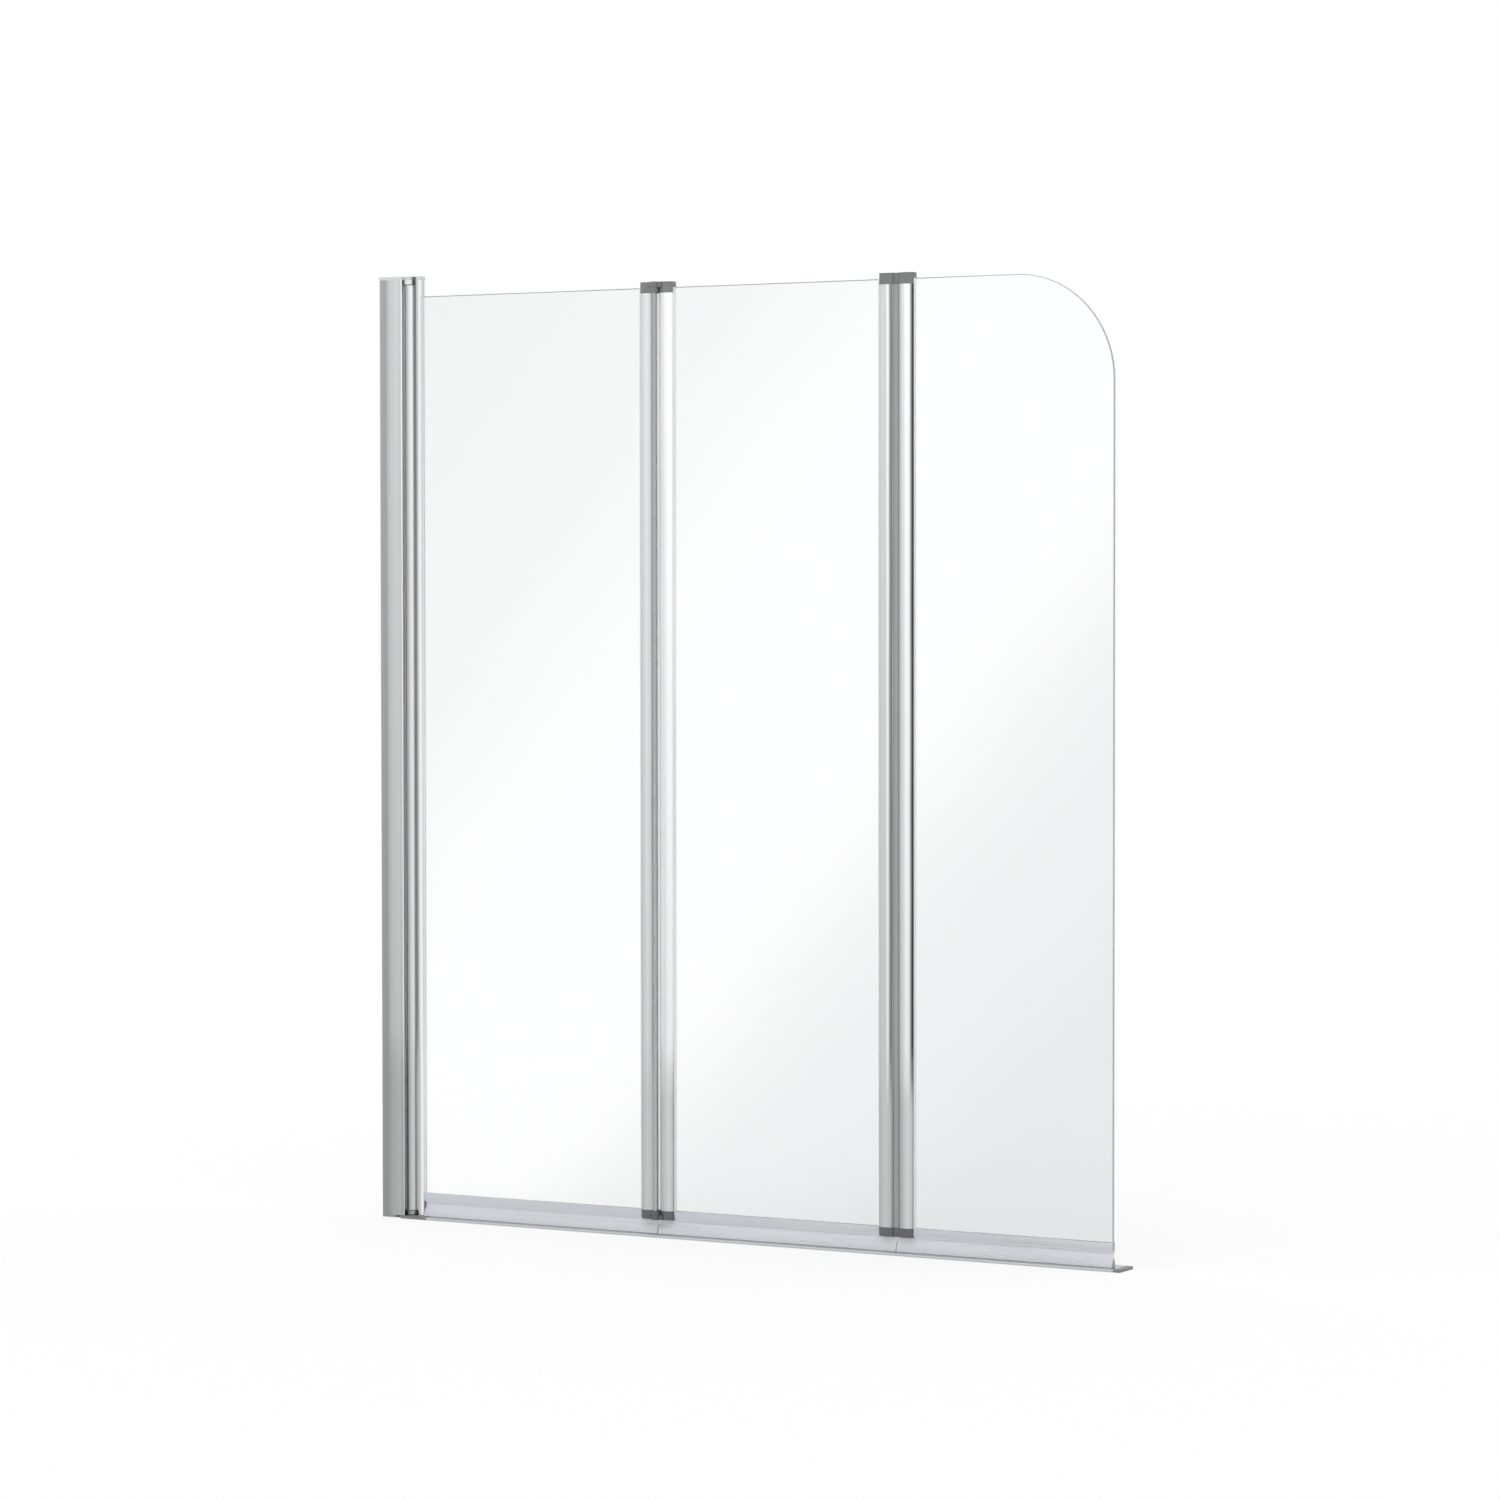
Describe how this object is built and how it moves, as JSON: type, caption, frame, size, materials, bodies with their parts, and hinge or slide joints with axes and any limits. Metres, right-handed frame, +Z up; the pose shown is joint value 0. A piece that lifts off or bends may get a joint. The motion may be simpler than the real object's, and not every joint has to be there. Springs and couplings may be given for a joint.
{
  "type": "folding bath screen",
  "caption": "Folding bath screen: clear glass panels joined by full-height hinges, swinging from a wall profile, with one rounded top corner, lip seals and a rim strip.",
  "frame": {"origin": "on the wall face, in the middle of the glass thickness, at the level of the bath rim, which is the lower end of the wall channel's back", "axes": "+X along the closed screen away from the wall, +Y over the bath, +Z up"},
  "size_m": [1.22, 0.048, 1.405],
  "materials": {
    "bright_profile": "bright polished extrusion",
    "steel": "polished steel",
    "dark_cap": "fine moulded grain",
    "pale_cover": "smooth moulded",
    "bush": "smooth moulded",
    "gasket": "clear soft extrusion",
    "glass": "clear safety glass, polished edges",
    "clear_seal": "milky clear extrusion",
    "strip": "satin extrusion"
  },
  "bodies": {
    "wall_frame": {"wall_channel": "bright_profile", "adjusting_profile": "bright_profile", "side_screws": "steel", "top_cover": "pale_cover", "cover_screws": "steel", "top_pivot_block": "bright_profile", "top_pivot_pin": "steel", "top_pivot_cap": "pale_cover", "bottom_pivot_block": "bright_profile", "bottom_pivot_pin": "steel", "threshold_strip": "strip", "threshold_foot": "dark_cap", "threshold_end_cap": "dark_cap"},
    "panel_1": {"pivot_column": "bright_profile", "grip_top_cap": "pale_cover", "top_pivot_bush": "bush", "bottom_pivot_bush": "bush", "pivot_gasket": "gasket", "glass_1": "glass", "bottom_seal_1": "clear_seal", "hinge_1_leaf_a": "bright_profile", "hinge_1_gasket_a": "gasket", "hinge_1_top_cap_a": "dark_cap", "hinge_1_bottom_cap_a": "dark_cap", "hinge_1_rod": "steel", "hinge_1_water_strip": "gasket"},
    "panel_2": {"hinge_1_leaf_b": "bright_profile", "hinge_1_gasket_b": "gasket", "hinge_1_top_cap_b": "dark_cap", "hinge_1_bottom_cap_b": "dark_cap", "glass_2": "glass", "bottom_seal_2": "clear_seal", "hinge_2_leaf_a": "bright_profile", "hinge_2_gasket_a": "gasket", "hinge_2_top_cap_a": "dark_cap", "hinge_2_bottom_cap_a": "dark_cap", "hinge_2_rod": "steel", "hinge_2_water_strip": "gasket"},
    "panel_3": {"hinge_2_leaf_b": "bright_profile", "hinge_2_gasket_b": "gasket", "hinge_2_top_cap_b": "dark_cap", "hinge_2_bottom_cap_b": "dark_cap", "glass_3": "glass", "bottom_seal_3": "clear_seal"}
  },
  "joints": [
    {"name": "wall_swing", "type": "hinge", "parent": "wall_frame", "child": "panel_1", "pos_m": [0.0455, 0, 0], "axis": [0, 0, 1], "range_deg": [0, 90]},
    {"name": "first_fold", "type": "hinge", "parent": "panel_1", "child": "panel_2", "pos_m": [0.475, -0.011, 0], "axis": [0, 0, 1], "range_deg": [-180, 0]},
    {"name": "second_fold", "type": "hinge", "parent": "panel_2", "child": "panel_3", "pos_m": [0.866, 0.011, 0], "axis": [0, 0, 1], "range_deg": [0, 180]}
  ]
}
